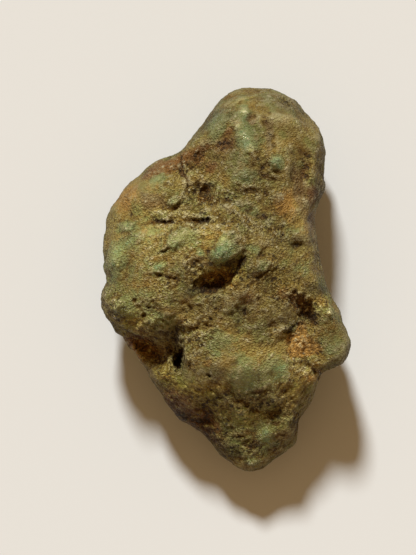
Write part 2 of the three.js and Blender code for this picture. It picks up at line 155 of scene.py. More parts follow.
NECK_RELIEF = [
    (-5.1, 13.0, 2.2, 0.15, 97, -0.40, 2),
    (-2.6, 11.0, 1.6, 1.0, 0, -0.30, 2),
    (-2.7, 11.4, 0.4, 0.35, 0, -0.45, 2),
    (-3.6, 11.9, 0.4, 0.3, 0, -0.40, 2),
    (-1.9, 10.5, 0.5, 0.3, 0, -0.45, 2),
    (-6.3, 9.8, 0.6, 0.6, 0, 0.90, 3),
    (-5.8, 9.2, 0.7, 0.25, 40, -0.35, 2),
    (1.8, 9.2, 2.6, 0.25, -15, -0.30, 2),
    (3.3, 8.4, 2.0, 0.25, -14, -0.30, 2),
    (0.6, 8.7, 1.4, 0.3, -12, 0.25, 2),
]
LEFT_RELIEF = [
    (-5.7, 8.4, 3.6, 0.35, 3, 0.25, 2),
    (-7.9, 7.1, 1.75, 0.18, 4, -0.45, 2),
    (-6.8, 7.2, 0.6, 0.22, 0, -0.60, 2),
    (-3.4, 7.6, 1.2, 0.30, -14, -0.90, 2),
    (-2.5, 7.3, 0.5, 0.3, -14, -0.60, 2),
    (-12.5, 6.9, 0.6, 0.5, 0, 0.35, 2),
    (-6.3, 5.0, 1.6, 0.45, 33, 0.35, 2),
    (-7.6, 3.8, 1.0, 0.15, 28, -0.40, 2),
    (-8.0, 0.5, 1.6, 0.25, -18, -0.30, 2),
    (-3.7, 2.0, 0.55, 0.6, 0, -0.35, 2),
    (-4.4, 2.4, 0.3, 0.3, 0, -0.25, 2),
    (-3.2, 1.2, 0.35, 0.35, 0, -0.25, 2),
    (-13.8, 2.0, 0.6, 0.8, 0, 0.30, 2),
    (-14.7, -0.3, 0.5, 0.3, 0, -0.35, 2),
    (-13.4, -2.8, 0.9, 0.9, 0, 0.35, 2),
    (-10.1, -4.5, 0.25, 0.25, 0, -0.50, 3),
    (-9.2, -3.1, 0.3, 0.2, 0, -0.40, 2),
    (-11.0, -2.4, 0.25, 0.25, 0, -0.35, 2),
    (-8.0, -4.7, 1.7, 0.4, 25, 0.30, 2),
]
NOSE_RELIEF = [
    (-0.3, 4.9, 0.5, 0.9, -15, 0.45, 2),
    (0.7, 4.5, 1.0, 0.3, 45, 0.30, 2),
    (-0.8, 3.0, 1.1, 0.8, 10, 0.60, 3),
    (1.0, 3.3, 1.1, 0.7, 20, 0.50, 2),
    (-1.9, -1.5, 1.9, 0.6, 12, 0.15, 2),
    (-0.8, 0.1, 1.9, 0.9, 25, -0.20, 3),
    (-3.7, -0.9, 1.1, 0.7, 10, 0.55, 2),
    (1.7, 2.4, 0.8, 0.25, 45, -0.50, 2),
    (1.3, 0.0, 1.7, 0.35, 48, 0.40, 2),
    (3.3, 2.4, 0.3, 0.3, 0, -0.20, 2),
    (4.7, 0.7, 1.2, 0.25, 15, -0.35, 2),
    (6.2, 2.4, 0.35, 0.35, 0, -0.20, 2),
    (7.2, 1.4, 0.3, 0.35, 0, -0.20, 2),
    (8.7, 4.5, 0.7, 0.5, 0, -0.30, 2),
    (4.6, 1.9, 0.8, 0.7, 0, 0.40, 2),
]
HOLLOW_RELIEF = [
    (-8.9, -5.8, 2.6, 0.8, 18, 0.60, 2),
    (-5.8, -9.9, 0.28, 0.85, -8, -1.80, 4),
    (-6.4, -7.6, 0.5, 1.4, -6, 0.50, 2),
    (-6.4, -7.1, 0.22, 1.6, -5, -0.45, 2),
    (-6.8, -9.9, 0.5, 1.0, 0, 1.00, 2),
    (-5.0, -9.6, 0.4, 1.0, 0, 0.60, 2),
    (-6.2, -11.1, 0.9, 0.35, 0, 0.35, 2),
    (-7.8, -10.6, 1.1, 0.35, 25, 0.30, 2),
    (-2.2, -11.8, 0.15, 0.15, 0, -0.70, 3),
]
RIGHT_RELIEF = [
    (9.6, -2.8, 0.8, 1.0, 20, 0.95, 2),
    (9.7, -1.7, 0.8, 0.5, -20, 0.35, 2),
    (10.2, -3.6, 0.5, 0.4, -30, 0.20, 2),
    (10.9, -4.8, 0.35, 0.8, 35, -0.30, 2),
    (8.9, -3.7, 0.4, 0.35, 0, 0.55, 2),
    (10.3, -2.3, 0.35, 0.45, 20, 0.45, 2),
    (8.6, -1.6, 0.35, 0.3, 0, -0.45, 2),
    (8.0, -5.7, 0.3, 0.6, -35, -0.25, 2),
    (7.3, -6.4, 0.5, 0.25, 20, -0.35, 2),
    (12.8, -3.9, 1.2, 1.1, 0, 0.30, 2),
    (10.4, -10.6, 1.6, 0.25, -20, -0.40, 2),
    (6.8, -6.5, 1.3, 0.6, 35, 0.60, 2),
    (7.8, -5.8, 0.6, 0.4, 20, 0.30, 2),
    (9.2, -7.8, 1.4, 1.2, 0, 0.40, 2),
]
TAIL_RELIEF = [
    (4.1, -15.9, 1.8, 0.4, -12, -0.25, 2),
    (1.8, -15.1, 1.0, 0.3, -20, -0.15, 2),
    (7.1, -16.4, 0.8, 0.3, -10, -0.20, 2),
    (7.6, -17.4, 0.8, 0.7, 0, 0.35, 2),
    (-2.3, -17.4, 0.9, 0.5, -10, -0.30, 2),
    (-4.4, -16.4, 0.6, 0.4, 0, -0.15, 2),
    (5.3, -19.5, 1.0, 0.7, 0, 0.20, 2),
    (2.8, -20.4, 0.9, 0.4, 0, -0.35, 2),
    (3.3, -22.8, 0.9, 0.6, 0, 0.30, 2),
]
# Swellings of the lower left flank: x, y, z, size, height outwards.
FLANK_RELIEF = [
    (-13.3, -6.2, 7.0, 1.0, 0.55),
    (-10.6, -9.8, 7.0, 1.2, 0.55),
]
RELIEF = (
    HEAD_RELIEF + NECK_RELIEF + LEFT_RELIEF + NOSE_RELIEF + HOLLOW_RELIEF + RIGHT_RELIEF + TAIL_RELIEF
)

# --- Stains and painted light and shade of the upper face ---------------------------------------
# x, y, half-length, half-width, turn in degrees from +X, strength.
GREEN = [
    (2.3, 17.8, 1.1, 3.6, 0, 1.0),
    (-1.0, 19.2, 1.3, 1.8, -20, 0.6),
    (1.2, 20.8, 1.8, 1.1, 0, 0.35),
    (6.2, 14.4, 0.9, 0.7, 0, 1.5),
    (2.4, 12.9, 1.3, 0.9, 0, 1.0),
    (-14.2, 1.2, 1.2, 1.2, 0, 0.55),
    (-13.7, 2.8, 1.6, 1.6, 0, 0.7),
    (-12.2, 4.6, 1.4, 0.8, 30, 0.7),
    (-12.8, -3.0, 1.5, 1.5, 0, 0.8),
    (-0.1, 4.6, 1.1, 1.6, -15, 0.9),
    (-1.0, 2.8, 1.2, 1.1, 0, 1.1),
    (1.1, 3.5, 1.5, 1.0, 20, 0.7),
    (3.4, 3.8, 1.0, 0.6, -25, 0.9),
    (8.6, 6.5, 1.2, 0.6, 0, 0.65),
    (-5.9, 5.2, 2.2, 1.0, 33, 0.6),
    (-6.4, 4.7, 0.9, 0.5, 33, 0.4),
    (-12.4, 6.9, 0.9, 0.7, 0, 0.55),
    (-11.0, 7.0, 1.4, 0.8, 20, 0.35),
    (-8.6, 6.1, 2.0, 0.8, 10, 0.4),
    (-3.4, 3.5, 0.5, 0.4, 0, 0.9),
    (-14.0, -0.4, 1.0, 0.8, 0, 0.5),
    (-10.8, -2.6, 2.2, 1.2, 0, 0.15),
    (-8.2, 1.7, 1.0, 0.5, 20, 0.8),
    (-8.4, 12.9, 1.0, 0.7, 20, 0.8),
    (-8.8, 11.4, 2.2, 1.0, 20, 0.4),
    (-6.3, 9.8, 0.8, 0.8, 0, 1.0),
    (4.6, 1.9, 0.9, 0.8, 0, 0.9),
    (9.3, 1.2, 1.3, 1.3, 0, 0.65),
    (-0.9, -7.3, 2.2, 1.5, 0, 0.65),
    (6.3, -11.2, 1.6, 1.8, 0, 1.1),
    (2.7, -10.6, 1.8, 1.4, 0, 0.65),
    (2.6, -12.8, 2.4, 1.3, 0, 0.8),
    (13.0, -4.3, 1.4, 1.8, 0, 0.6),
    (12.4, -8.0, 1.5, 1.8, 0, 0.6),
    (2.2, -17.4, 4.4, 2.2, 0, 0.75),
    (3.0, -14.0, 3.6, 1.0, 0, 0.35),
    (1.0, -20.8, 1.8, 1.1, 0, 0.65),
    (5.4, -20.0, 1.3, 1.5, 0, 1.0),
    (3.2, -22.6, 1.2, 0.9, 0, 1.0),
    (7.7, -17.1, 1.2, 1.4, 0, 0.45),
    (-8.2, -5.0, 2.0, 0.9, 25, 0.75),
    (-10.6, -4.4, 2.0, 1.0, 10, 0.5),
    (-10.7, -1.1, 1.5, 1.0, 0, 0.5),
    (-11.0, 4.5, 3.0, 3.5, 0, 0.3),
    (-3.6, 5.0, 2.0, 1.4, 20, 0.45),
    (0.2, -9.0, 2.2, 1.0, 0, 0.3),
    (3.6, 17.0, 1.4, 1.4, 0, 0.25),
    (-6.8, 2.2, 3.6, 1.8, 10, 0.3),
    (6.2, 16.8, 2.0, 1.4, 0, 0.3),
    (-1.2, 19.0, 2.2, 2.6, -20, 0.25),
    (1.8, 9.7, 2.6, 0.8, -14, 0.45),
    (3.9, 8.5, 1.9, 0.5, -12, 0.65),
    (-8.6, 9.6, 1.8, 1.2, 20, 0.35),
]
# Rust, partly painted warm shade: in the pool under the nose and on the shaded lower left flank and the
# tail.
RUST_AND_PAINTED_SHADE_PLACES = [
    (0.0, 17.0, 1.2, 1.4, 0, 0.8),
    (-4.4, 15.4, 1.6, 1.0, 30, 0.9),
    (-2.2, 16.4, 1.2, 1.0, 0, 0.7),
    (-1.7, 13.9, 1.3, 1.1, 0, 0.9),
    (-7.0, 14.0, 1.8, 1.1, 25, 1.0),
    (-1.3, 0.0, 2.2, 1.2, 25, 1.3),
    (1.8, -2.4, 2.6, 1.5, 0, 0.5),
    (5.0, -0.5, 4.0, 2.5, -20, 0.35),
    (8.6, -2.4, 2.6, 1.6, -30, 0.5),
    (-10.0, 14.0, 1.5, 1.0, 35, 0.5),
    (-3.2, -17.4, 2.2, 1.1, -20, 1.3),
    (10.8, 10.7, 0.9, 1.3, 0, 1.2),
    (3.4, 20.0, 0.9, 0.6, 0, 0.7),
    (0.4, 18.6, 0.5, 0.7, 20, 0.6),
    (-10.0, -8.4, 3.4, 2.2, -32, 0.8),
    (-5.5, -16.4, 3.6, 1.8, -48, 1.4),
    (-11.2, -8.6, 1.6, 1.6, -30, 0.8),
    (-3.0, 19.6, 0.8, 1.6, -35, 0.5),
    (-9.2, 13.6, 1.4, 0.7, 30, 0.5),
    (0.5, -14.4, 3.5, 1.0, 0, 0.4),
    (-1.0, -20.0, 2.2, 1.4, -48, 0.7),
    (8.6, -18.8, 1.6, 2.0, 30, 0.5),
    (9.6, -3.0, 1.0, 1.2, 0, 0.7),
    (4.8, -13.9, 1.5, 0.8, 0, 0.45),
    (5.6, -5.5, 2.2, 1.2, 0, 0.5),
]
OCHRE = [
    (9.4, -6.0, 0.8, 1.3, 0, 1.4),
    (9.4, -8.0, 2.1, 1.3, -15, 1.9),
    (7.4, 9.5, 2.0, 2.2, 0, 0.9),
    (-12.2, 10.2, 1.4, 2.4, -30, 0.9),
    (-9.9, 3.7, 1.5, 1.0, 0, 0.35),
    (7.2, 16.9, 1.3, 1.1, 0, 0.45),
    (9.0, 20.0, 1.2, 0.8, 0, 0.5),
    (0.6, 22.9, 1.4, 0.5, 16, 0.7),
    (2.4, -8.4, 1.1, 0.9, 0, 0.5),
    (-2.3, -10.3, 0.9, 0.7, 0, 0.7),
    (-7.6, -12.0, 1.6, 0.7, 20, 0.55),
    (10.6, -12.0, 1.2, 0.8, 0, 0.75),
    (0.8, -0.5, 1.2, 0.7, 50, 0.8),
    (-3.2, 15.1, 1.4, 0.7, 30, 0.8),
    (-5.7, 2.4, 2.2, 1.4, 0, 0.4),
    (-1.4, -18.4, 0.7, 0.5, 0, 0.7),
]
GREY = [
    (5.0, 19.3, 0.7, 1.6, 0, 0.8),
    (5.3, 16.6, 0.8, 2.2, 0, 0.7),
    (8.8, 12.6, 0.9, 2.6, 10, 0.9),
    (10.4, 7.0, 0.9, 2.6, 0, 0.9),
    (9.6, 10.0, 1.2, 1.6, 0, 0.6),
    (-8.8, 9.8, 1.7, 1.2, 0, 1.0),
    (-5.0, 12.9, 0.4, 2.2, 7, 0.8),
    (-10.6, 11.2, 1.2, 1.2, 0, 0.5),
]
# Dark stains, partly painted shade: the dark in pits, cracks, slots and the hole, and a painted shadow
# in the pool under the nose.
DARK_AND_PAINTED_SHADE_PLACES = [
    (7.4, 22.1, 1.2, 0.5, -15, 0.8),
    (10.0, 20.6, 0.4, 1.2, 35, 0.9),
    (4.5, 19.7, 0.4, 0.6, 20, 0.35),
    (9.7, 14.8, 0.6, 0.8, 0, 0.6),
    (-2.8, 11.4, 1.9, 1.2, 0, 0.7),
    (-0.2, 17.0, 1.0, 1.1, 0, 0.8),
    (3.7, 14.9, 0.6, 0.6, 0, 0.6),
    (5.6, 13.4, 1.1, 0.4, -10, 0.6),
    (4.7, 0.7, 1.2, 0.3, 15, 0.8),
    (-2.4, -1.0, 1.8, 0.6, 10, 0.9),
    (0.2, 0.8, 1.2, 0.6, 40, 0.2),
    (1.6, 2.1, 1.2, 0.5, 42, 1.0),
    (-6.4, -7.4, 0.4, 1.7, -5, 0.7),
    (-5.8, -9.9, 0.4, 0.9, -8, 1.4),
    (-8.6, -9.0, 2.0, 1.2, -30, 0.5),
    (9.7, -3.5, 0.9, 1.1, 25, 0.9),
    (8.6, -1.6, 0.4, 0.35, 0, 0.6),
    (10.9, -4.8, 0.5, 0.9, 35, 0.8),
    (7.8, -5.6, 0.7, 1.2, -30, 0.7),
    (12.0, -7.2, 0.6, 2.0, -5, 0.4),
    (5.2, 18.5, 0.5, 1.6, 10, 0.5),
    (4.9, -15.9, 2.6, 0.4, -12, 0.45),
    (-2.6, -17.3, 1.6, 0.8, -15, 0.7),
    (-5.4, -17.2, 1.8, 1.0, -48, 0.8),
    (-2.2, -11.8, 0.15, 0.15, 0, 1.3),
    (-7.0, 7.1, 0.9, 0.3, 0, 1.0),
    (-2.7, 7.4, 0.9, 0.45, -14, 1.1),
    (-3.7, 2.0, 0.7, 0.7, 0, 0.8),
    (8.7, 4.5, 0.8, 0.6, 0, 0.6),
]
# Coarser where the skin is broken and sandy, finer where it is worn.
ROUGH = [
    (-4.2, 8.5, 4.2, 2.4, -10, 0.45),
    (2.2, 1.6, 1.2, 1.4, 0, 0.35),
    (6.0, 0.0, 2.0, 1.2, 0, 0.25),
    (3.0, 7.5, 2.0, 1.2, 0, 0.25),
    (-4.2, -6.4, 1.2, 1.4, 0, 0.45),
    (-6.0, -10.0, 1.0, 1.6, 0, 0.40),
    (10.0, -4.0, 1.0, 1.2, 0, 0.25),
    (11.5, -12.0, 1.2, 1.0, 0, 0.35),
    (-13.4, -4.0, 1.6, 1.4, 0, 0.45),
    (-4.0, 14.0, 2.5, 1.6, 40, 0.4),
    (3.0, 11.0, 2.5, 1.5, -20, 0.35),
    (3.0, 6.5, 4.0, 2.5, 0, 0.35),
    (0.5, 1.0, 6.0, 2.5, 0, 0.6),
    (-8.0, 1.5, 4.0, 3.0, 0, 0.15),
    (9.2, -4.5, 1.8, 2.8, 0, 0.6),
    (9.8, -10.0, 1.6, 1.6, 0, 0.35),
    (9.2, -7.4, 1.6, 1.3, 0, -0.40),
    (-4.6, -7.6, 2.0, 3.0, 0, 0.7),
    (-2.0, -4.0, 3.0, 1.2, 0, 0.4),
    (-7.5, -11.0, 1.5, 1.5, 0, 0.4),
    (-9.6, -8.2, 3.5, 2.5, -35, 0.6),
    (-12.4, -3.0, 3.0, 2.4, 0, 0.6),
    (8.5, 18.5, 3.0, 4.0, 0, -0.50),
    (3.0, 19.5, 4.0, 2.6, 0, -0.10),
    (1.5, 14.6, 2.6, 2.4, 0, -0.45),
    (1.5, -10.5, 4.0, 2.2, 0, -0.45),
    (1.0, -18.0, 6.0, 4.5, 0, 0.70),
    (4.0, -14.6, 6.0, 1.4, 0, 0.35),
    (8.8, -11.6, 2.5, 1.4, 0, 0.50),
    (11.5, -3.2, 1.5, 1.5, 0, 0.50),
    (-1.0, 10.0, 2.0, 1.2, 0, 0.50),
    (-3.5, 0.5, 1.5, 1.5, 0, 0.40),
    (-6.5, -8.6, 2.2, 2.6, 0, 0.35),
    (-13.0, 9.5, 2.5, 3.5, 35, -0.3),
    (-10.0, 12.5, 2.5, 2.0, 35, -0.45),
    (-8.0, 11.0, 2.0, 1.4, 20, -0.25),
    (13.5, -7.0, 1.5, 2.5, 0, -0.3),
    (9.5, 8.0, 2.0, 3.5, 0, -0.6),
    (1.0, 22.3, 3.0, 1.2, 0, -0.3),
]
# Polished tips that catch the light: x, y.
GLINTS = [
    (2.1, 20.8),
    (1.5, 19.1),
    (2.4, 17.6),
    (3.0, 16.0),
    (-12.4, 7.1),
    (-0.3, 5.2),
    (-13.4, 1.9),
    (12.7, -4.0),
    (-13.8, -4.5),
]
GLINT_SIZE = 0.26
GLINT_HEIGHT = 0.13
# Painted warm shade: a browner tint that stands in for warm light in shadow, mostly on the lower
# flanks and the tail, and on the floors of some pits.
WARM_PAINTED_SHADE_PLACES = [
    (-5.0, -15.5, 4.5, 2.5, -48, 1.0),
    (2.0, -18.0, 8.0, 6.0, 0, 0.25),
    (12.0, -3.6, 2.4, 1.6, 0, 0.10),
    (7.0, -0.8, 1.6, 1.0, 0, 0.20),
    (-11.4, -5.0, 3.0, 1.4, -10, 0.15),
    (0.0, -19.5, 4.5, 3.0, -40, 0.4),
    (2.5, -15.0, 7.0, 2.5, 0, 0.35),
    (9.6, -13.4, 2.4, 1.6, 0, 0.2),
    (8.6, -18.8, 2.0, 3.0, 30, 0.4),
    (-9.8, -8.6, 3.4, 2.0, -35, 1.0),
    (-13.6, -5.0, 1.8, 2.0, -30, 0.8),
    (0.6, 23.0, 3.0, 1.0, 10, 0.4),
    (-1.5, 0.0, 3.0, 1.6, 15, 1.0),
    (4.0, 0.0, 4.0, 2.5, 0, 0.2),
    (-5.5, -12.0, 4.0, 2.0, 0, 0.1),
    (-7.0, -13.2, 2.2, 1.2, -40, 0.45),
    (-1.4, -13.0, 3.2, 1.2, 0, 0.45),
    (-3.0, -15.2, 3.0, 1.4, -20, 0.45),
    (12.8, -0.8, 1.6, 1.6, 0, 0.60),
    (9.2, -2.8, 1.4, 1.4, 0, 0.60),
    (0.6, 1.6, 2.2, 1.6, 40, 0.60),
    (5.2, 1.0, 1.6, 1.0, 0, 0.40),
    (-11.6, -5.2, 3.2, 1.2, -10, 0.40),
    (-5.2, -9.2, 1.4, 1.8, 0, 0.45),
    (9.8, -13.2, 1.8, 1.2, 0, 0.40),
]
# Lighter and darker places, set by comparing the brightness of renders with the photo's. Some of
# them hold light and shade of the photo rather than the stone's own colour.
# Partly painted light: painted highlights on the glinting tips and the ridge's lumps, and painted shade
# in the pool under the nose and on slopes of the tail.
TONE_AND_PAINTED_LIGHT_PLACES = [
    (1.6, 22.3, 3.4, 0.25, 15, 0.40),
    (2.1, 20.9, 0.5, 0.4, 0, 0.50),
    (1.5, 19.2, 0.5, 0.5, 0, 0.40),
    (2.3, 18.0, 0.5, 0.6, 0, 0.40),
    (3.0, 16.0, 0.5, 0.6, 0, 0.40),
    (7.4, 16.8, 0.9, 0.8, 0, 0.20),
    (-8.0, 5.0, 5.5, 3.0, 10, 0.50),
    (-9.2, 9.2, 2.0, 1.6, 30, 0.60),
    (-10.8, 11.4, 1.4, 1.2, 30, -0.20),
    (-12.8, 9.6, 1.0, 2.0, -30, -0.15),
    (-5.0, 8.2, 3.4, 1.5, -5, 0.45),
    (-2.6, 5.4, 2.4, 1.2, 20, 0.95),
    (-9.0, 6.8, 2.0, 0.9, 0, 0.30),
    (-9.8, -2.4, 3.6, 2.0, 0, 0.50),
    (-2.4, -6.0, 3.0, 1.4, 0, 0.65),
    (-1.2, -3.2, 1.2, 0.8, 0, -0.20),
    (5.5, -8.6, 5.0, 2.0, 0, 0.45),
    (8.6, -12.2, 3.2, 2.0, 10, 0.75),
    (-1.3, -11.3, 3.5, 1.1, 0, -0.80),
    (-7.4, -11.2, 1.3, 0.8, 20, 0.25),
    (-0.6, -13.4, 2.4, 0.7, 0, 0.60),
    (11.0, -12.0, 1.2, 1.4, 0, 0.75),
    (9.4, -9.4, 1.6, 1.0, 0, 0.40),
    (6.5, 15.2, 3.0, 2.0, 0, 0.25),
    (0.6, 15.4, 1.8, 1.6, 0, -0.45),
    (2.9, 13.1, 1.3, 1.0, 0, -0.50),
    (-1.2, 14.8, 1.0, 1.0, 0, -0.25),
    (7.0, 21.2, 1.4, 0.8, 0, -0.25),
    (3.0, 19.5, 2.2, 2.4, 0, -0.15),
    (-6.3, 9.8, 0.7, 0.7, 0, 0.60),
    (5.0, 19.3, 0.8, 1.0, 0, 0.35),
    (0.4, 18.6, 0.8, 0.8, 0, 0.35),
    (12.4, -2.6, 1.0, 1.2, 0, 0.45),
    (12.0, -3.2, 1.6, 1.2, 0, 0.90),
    (-11.0, -4.9, 1.9, 1.0, 15, 1.20),
    (-14.2, -3.0, 1.4, 1.4, 0, 0.45),
    (3.6, -5.0, 2.0, 0.9, 0, -0.25),
    (10.4, 7.0, 0.9, 2.6, 0, 0.35),
    (8.4, 12.6, 1.2, 2.4, 10, 0.20),
    (9.4, 18.6, 1.6, 1.6, 0, 0.25),
    (-0.4, 5.2, 0.5, 1.0, -15, 0.60),
    (0.9, 4.6, 1.1, 0.3, 45, 0.40),
    (1.3, 0.1, 1.8, 0.4, 48, 0.50),
    (-13.2, 3.2, 1.4, 1.0, 0, 0.30),
    (-13.4, 1.9, 0.4, 0.4, 0, 0.90),
    (12.7, -4.0, 0.4, 0.4, 0, 0.60),
    (-8.6, 6.2, 1.8, 0.7, 10, 0.35),
    (-8.9, -11.0, 1.0, 0.8, 0, -0.20),
    (10.9, -11.2, 0.9, 0.8, 0, 0.45),
    (7.2, -7.0, 1.2, 0.8, 0, 0.30),
    (11.2, -1.0, 1.0, 0.8, 0, -0.30),
    (-8.4, 0.6, 2.2, 1.8, 0, 0.55),
    (-3.0, -1.3, 2.6, 0.8, 12, -0.75),
    (-2.6, 1.0, 1.6, 0.7, 15, 0.75),
    (-0.8, 0.5, 1.5, 0.8, 35, 1.10),
    (-5.0, -1.0, 1.0, 1.0, 0, -0.20),
    (3.4, 1.2, 1.2, 1.0, 0, -0.60),
    (4.7, 1.4, 1.0, 0.6, 0, -0.35),
    (11.6, -0.8, 1.6, 0.8, -10, -0.85),
    (11.0, -3.2, 0.9, 0.9, 0, 0.85),
    (9.6, -2.3, 0.9, 0.8, 0, 0.40),
    (7.2, -1.0, 1.2, 0.8, 0, 0.35),
    (7.0, -4.0, 1.4, 1.4, 0, -0.25),
    (-1.4, -3.8, 2.0, 1.0, 0, 0.25),
    (-8.4, -5.4, 2.2, 0.7, 22, 0.60),
    (-13.6, -2.6, 1.4, 1.4, 0, -0.30),
    (-3.0, 12.2, 3.6, 1.4, 0, 0.40),
    (-1.6, 20.8, 3.0, 1.6, 40, -0.65),
    (1.2, 23.0, 2.6, 1.2, 10, -0.35),
    (6.6, 22.0, 2.4, 1.3, -20, -0.55),
    (3.5, 19.0, 5.0, 2.6, 0, -0.25),
    (10.4, 20.6, 2.2, 2.4, -40, -0.35),
    (-14.4, 8.4, 1.2, 2.0, 20, -0.10),
    (8.6, 5.0, 2.2, 1.0, 0, -0.60),
    (11.2, 11.0, 1.1, 1.4, 0, -0.80),
    (-3.0, 10.6, 1.4, 1.0, 0, 0.60),
    (-3.2, 9.0, 1.6, 0.8, 0, 0.25),
    (5.2, 9.0, 1.4, 0.9, 0, 0.30),
    (11.4, 3.0, 1.0, 1.2, 0, 0.25),
    (3.2, 5.2, 1.2, 0.8, 0, 0.30),
    (9.3, -7.4, 1.8, 1.6, 0, 0.45),
    (10.5, -12.0, 1.4, 0.9, 0, 0.70),
    (-5.0, -6.0, 1.2, 2.0, 0, 0.70),
    (-6.5, 3.4, 3.0, 2.0, 0, 0.25),
    (-9.4, -8.6, 3.2, 2.0, -35, 0.80),
    (-10.4, -8.6, 1.4, 1.2, 0, 0.55),
    (-7.0, -7.0, 1.1, 1.0, 0, -0.35),
    (-9.2, -11.0, 0.9, 0.9, 0, -0.30),
    (-5.2, -16.0, 3.6, 1.7, -48, -0.60),
    (-0.8, -20.4, 2.4, 1.8, -45, -0.60),
    (3.0, -16.8, 3.2, 1.2, -8, 1.10),
    (4.2, -18.6, 1.4, 0.9, 0, 0.10),
    (2.2, -17.4, 0.8, 0.6, 0, 0.25),
    (5.4, -20.2, 0.8, 0.6, 0, 0.50),
    (-2.8, -13.2, 1.6, 1.0, 0, 0.30),
    (-5.6, -17.2, 1.6, 1.0, -48, -0.40),
    (9.0, -19.0, 1.2, 1.6, 0, -0.40),
    (14.0, -8.0, 1.4, 2.0, 0, -0.55),
    (3.2, 8.2, 2.4, 1.0, -10, -0.20),
]
PLACED = {"green": GREEN, "rust": RUST_AND_PAINTED_SHADE_PLACES, "ochre": OCHRE, "grey": GREY, "dark": DARK_AND_PAINTED_SHADE_PLACES}
# The flanks and the underside: most, mm across, seed, noise where the stain starts and is full.
WILD = {
    "green": (0.85, 6.0, 11.0, -0.05, 0.4),
    "rust": (0.7, 5.0, 23.0, 0.1, 0.5),
    "ochre": (0.6, 4.5, 37.0, 0.1, 0.5),
    "grey": (0.4, 5.5, 41.0, 0.2, 0.5),
    "dark": (0.5, 3.5, 53.0, 0.2, 0.6),
}


# --- Meshes -------------------------------------------------------------------------------------
def points_of(mesh):
    flat = np.empty(len(mesh.vertices) * 3)
    mesh.vertices.foreach_get("co", flat)
    return flat.reshape(-1, 3) / MM


def normals_of(mesh):
    flat = np.empty(len(mesh.vertices) * 3)
    mesh.vertex_normals.foreach_get("vector", flat)
    return flat.reshape(-1, 3)


def move_points(mesh, points):
    mesh.vertices.foreach_set("co", (points * MM).ravel())
    mesh.update()


def with_modifiers(thing):
    """The mesh that an object's modifiers make. The object's own points come first in it."""
    bpy.context.view_layer.update()
    return bpy.data.meshes.new_from_object(thing.evaluated_get(bpy.context.evaluated_depsgraph_get()))


def fine_skin(node):
    """A new object with the solid's skin, rounded by subdivision into small quads.

    Rounding draws the solid's corners in, so they are first pushed out by what they would lose.
    """
    mesh = node.data.copy()
    welded = bmesh.new()
    welded.from_mesh(mesh)
    bmesh.ops.remove_doubles(welded, verts=welded.verts, dist=WELD * MM)
    welded.to_mesh(mesh)
    welded.free()
    stone = bpy.data.objects.new("stone", mesh)
    bpy.context.scene.collection.objects.link(stone)
    rounding = stone.modifiers.new("rounding", "SUBSURF")
    rounding.levels = SUBDIVISIONS
    corners = points_of(mesh)
    for _ in range(CORNER_ROUNDS):
        drawn_in = points_of(with_modifiers(stone))[: len(corners)]
        move_points(mesh, points_of(mesh) + corners - drawn_in)
    rounded = with_modifiers(stone)
    stone.modifiers.clear()
    stone.data = rounded
    rounded.name = "stone"
    for name in [layer.name for layer in rounded.uv_layers]:
        rounded.uv_layers.remove(rounded.uv_layers[name])
    rounded.materials.clear()
    return stone


def edges_of(mesh):
    flat = np.empty(len(mesh.edges) * 2, int)
    mesh.edges.foreach_get("vertices", flat)
    return flat.reshape(-1, 2)


def smoothed(values, edges, rounds):
    """The values of each point mixed with its neighbours', again and again."""
    count = len(values)
    first, second = edges.T
    degree = np.bincount(edges.ravel(), minlength=count)
    for _ in range(rounds):
        total = np.bincount(first, values[second], count) + np.bincount(second, values[first], count)
        values = 0.5 * values + 0.5 * total / degree
    return values


def step(values, start, end):
    share = np.clip((values - start) / (end - start), 0, 1)
    return share * share * (3 - 2 * share)


# --- Spots and noise ----------------------------------------------------------------------------
def spot(points, x, y, half_length, half_width, turn, edge=2):
    """1 in the middle of an ellipse seen from above, about a half on its line, 0 well outside."""
    angle = math.radians(turn)
    dx = points[:, 0] - x
    dy = points[:, 1] - y
    along = (dx * math.cos(angle) + dy * math.sin(angle)) / half_length
    across = (dy * math.cos(angle) - dx * math.sin(angle)) / half_width
    apart = np.minimum(np.hypot(along, across) / SPOT_REACH, 1)
    return (1 - apart**edge) ** 2


def sum_of_spots(places, spots):
    return sum(strength * spot(places, *shape) for *shape, strength in spots)


def glints(points):
    return sum(spot(points, x, y, GLINT_SIZE, GLINT_SIZE, 0) for x, y in GLINTS)


def noise_shift(seed):
    return Vector([seed * way for way in SEED_WAYS])


def soft_noise(points, across, seed):
    """Smooth noise from -1 to 1 with features about this many millimetres across."""
    shift = noise_shift(seed)
    return np.array([noise.noise(Vector(p) / across + shift) for p in points])


def cells(points, across, seed):
    """The distance to the nearest cell middle, as a share of a cell."""
    shift = noise_shift(seed)
    return np.array([noise.voronoi(Vector(p) / across + shift)[0][0] for p in points])


def ragged_places(points):
    """The points shifted about a little, so that shapes placed by them get natural edges."""
    moved = points.copy()
    for axis in (0, 1):
        for shift, across, seed in RAGGED:
            moved[:, axis] += shift * soft_noise(points, across, seed + axis)
    return moved


def along_grain(points, stretch):
    """The points turned and squeezed so that noise on them is drawn out along the grain."""
    turned = points @ np.array(Matrix.Rotation(math.radians(-GRAIN_TURN), 3, "Z")).T
    return turned * (1 / stretch, 1, 1)


# --- Masks --------------------------------------------------------------------------------------
def stains(points, places, upward):
    """How strongly each kind of stain colours each point.

    The upper face has the placed stains; in pits, slots and the pool under the nose some of its dark
    and rust is painted shade. The flanks and the underside have the same kinds, where noise puts them.
    """
    masks = {}
    for name, patches in PLACED.items():
        most, across, seed, start, end = WILD[name]
        wild = most * step(soft_noise(points, across, seed), start, end)
        mixed = upward * sum_of_spots(places, patches) + (1 - upward) * wild
        masks[name] = np.clip(mixed, 0, STAIN_MOST)
    return masks


